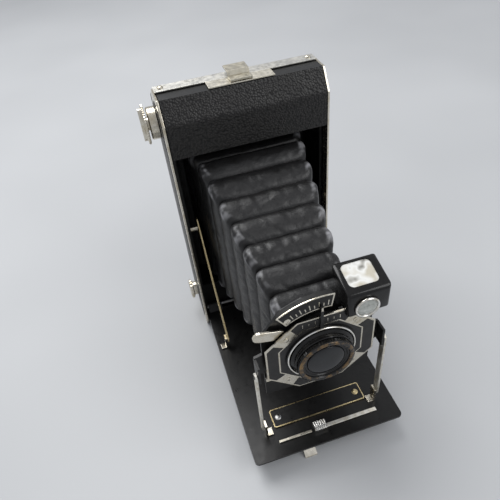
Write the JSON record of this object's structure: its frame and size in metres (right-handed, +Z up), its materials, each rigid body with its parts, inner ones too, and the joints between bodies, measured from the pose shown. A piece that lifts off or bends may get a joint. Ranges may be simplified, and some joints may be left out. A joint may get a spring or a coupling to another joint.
{
  "type": "folding_camera",
  "caption": "Single-lens folding roll-film camera on its bed: leatherette body, bellows, octagonal shutter plate, waist-level finder, struts and a winding key",
  "frame": {"origin": "middle of the body's flat bottom face, on the surface the camera stands on", "axes": "+X to the right seen from the front, lens looks along -Y, +Z up"},
  "size_m": [0.0859, 0.1328, 0.1478],
  "materials": {
    "covered_metal": "sheet aluminium under a black pebbled leatherette covering",
    "black_enamel": "satin black enamel",
    "nickel": "worn nickel plate",
    "bellows_leather": "thin black pleated leather",
    "lens_glass": "polished optical glass",
    "red_window": "deep red glass",
    "mirror": "silvered",
    "steel": "plain steel"
  },
  "bodies": {
    "body": {"body_shell": "covered_metal", "side_plate_left": "black_enamel", "side_plate_right": "black_enamel", "film_gate": "black_enamel", "film_guide_lower": "nickel", "film_guide_upper": "nickel", "bellows_rear_frame": "black_enamel", "bellows": "bellows_leather", "brace_stud_left": "nickel", "brace_stud_right": "nickel", "bed_hinge_pin": "steel", "back_hinge_pin": "nickel", "back_hinge_bracket_left": "nickel", "back_hinge_bracket_right": "nickel", "top_strip": "nickel", "strip_screw_left": "nickel", "strip_screw_right": "nickel", "latch_plate": "nickel", "tripod_bush": "nickel"},
    "winder": {"winding_key": "nickel", "winding_shaft": "steel", "takeup_spool": "black_enamel"},
    "supply": {"supply_spool": "black_enamel"},
    "knob": {"spool_knob": "nickel"},
    "back": {"back_cover": "covered_metal", "film_window": "red_window", "pressure_plate": "black_enamel", "pressure_spring": "steel"},
    "latch": {"latch_clip": "nickel"},
    "bed": {"bed_tray": "covered_metal", "bed_strip_left": "nickel", "bed_strip_right": "nickel", "blank_plate": "black_enamel", "arm_bracket_left": "nickel", "arm_bracket_right": "nickel", "brace_bracket_left": "nickel", "brace_bracket_right": "nickel", "foot_bracket": "nickel"},
    "catch": {"bed_catch": "nickel"},
    "stand": {"foot": "nickel"},
    "arms": {"arm_left": "nickel", "arm_right": "nickel"},
    "braces": {"brace_left": "nickel", "brace_right": "nickel"},
    "standard": {"lens_board": "black_enamel", "octagon_face": "black_enamel", "shutter_case": "black_enamel", "rear_lens": "lens_glass", "stop_scale": "black_enamel", "cable_socket": "nickel", "lens_barrel": "black_enamel", "finder_body": "black_enamel", "finder_bezel": "nickel", "finder_lens": "lens_glass", "finder_window": "lens_glass", "finder_mirror": "mirror"},
    "focus": {"focus_ring": "black_enamel", "front_lens": "lens_glass"},
    "stop": {"stop_lever": "nickel"},
    "release": {"release_lever": "nickel"}
  },
  "joints": [
    {"name": "bed_fold", "type": "hinge", "parent": "body", "child": "bed", "pos_m": [0, -0.0115, 0.0135], "axis": [-1, 0, 0], "range_deg": [0, 90], "deforming": ["bellows"]},
    {"name": "arm_fold", "type": "hinge", "parent": "bed", "child": "arms", "pos_m": [0, -0.098, 0.0193], "axis": [-1, 0, 0], "range_deg": [0, 90]},
    {"name": "standard_level", "type": "hinge", "parent": "arms", "child": "standard", "pos_m": [0, -0.098, 0.05965], "axis": [1, 0, 0], "range_deg": [0, 180]},
    {"name": "brace_fold", "type": "hinge", "parent": "bed", "child": "braces", "pos_m": [0, -0.042, 0.018], "axis": [1, 0, 0], "range_deg": [0, 124]},
    {"name": "winding_turn", "type": "hinge", "parent": "body", "child": "winder", "pos_m": [0, 0.004, 0.1275], "axis": [1, 0, 0], "continuous": true},
    {"name": "supply_turn", "type": "hinge", "parent": "body", "child": "supply", "pos_m": [0, 0.004, 0.0165], "axis": [1, 0, 0], "continuous": true},
    {"name": "knob_pull", "type": "slide", "parent": "body", "child": "knob", "axis": [-1, 0, 0], "range_m": [0, 0.004], "stiffness_N_per_m": 150},
    {"name": "back_open", "type": "hinge", "parent": "body", "child": "back", "pos_m": [0, 0.0196, 0.0064], "axis": [-1, 0, 0], "range_deg": [0, 90]},
    {"name": "latch_lift", "type": "hinge", "parent": "body", "child": "latch", "pos_m": [0, -0.0112, 0.1452], "axis": [1, 0, 0], "range_deg": [0, 35]},
    {"name": "foot_fold", "type": "hinge", "parent": "bed", "child": "stand", "pos_m": [0, -0.1005, 0.0049], "axis": [1, 0, 0], "range_deg": [0, 150]},
    {"name": "catch_press", "type": "slide", "parent": "bed", "child": "catch", "axis": [-1, 0, 0], "range_m": [0, 0.0012], "stiffness_N_per_m": 200},
    {"name": "focus_turn", "type": "hinge", "parent": "standard", "child": "focus", "pos_m": [0, -0.098, 0.064], "axis": [0, -1, 0], "range_deg": [0, 180]},
    {"name": "stop_set", "type": "hinge", "parent": "standard", "child": "stop", "pos_m": [0, -0.098, 0.064], "axis": [0, -1, 0], "range_deg": [-8, 30]},
    {"name": "release_press", "type": "hinge", "parent": "standard", "child": "release", "pos_m": [-0.01667, -0.098, 0.07955], "axis": [0, -1, 0], "range_deg": [0, 14], "stiffness_Nm_per_rad": 0.02}
  ],
  "couplings": [
    {"joint": "arm_fold", "follows": "bed_fold", "ratio": 1},
    {"joint": "standard_level", "follows": "bed_fold", "ratio": 2},
    {"joint": "brace_fold", "follows": "bed_fold", "ratio": 1.377}
  ]
}
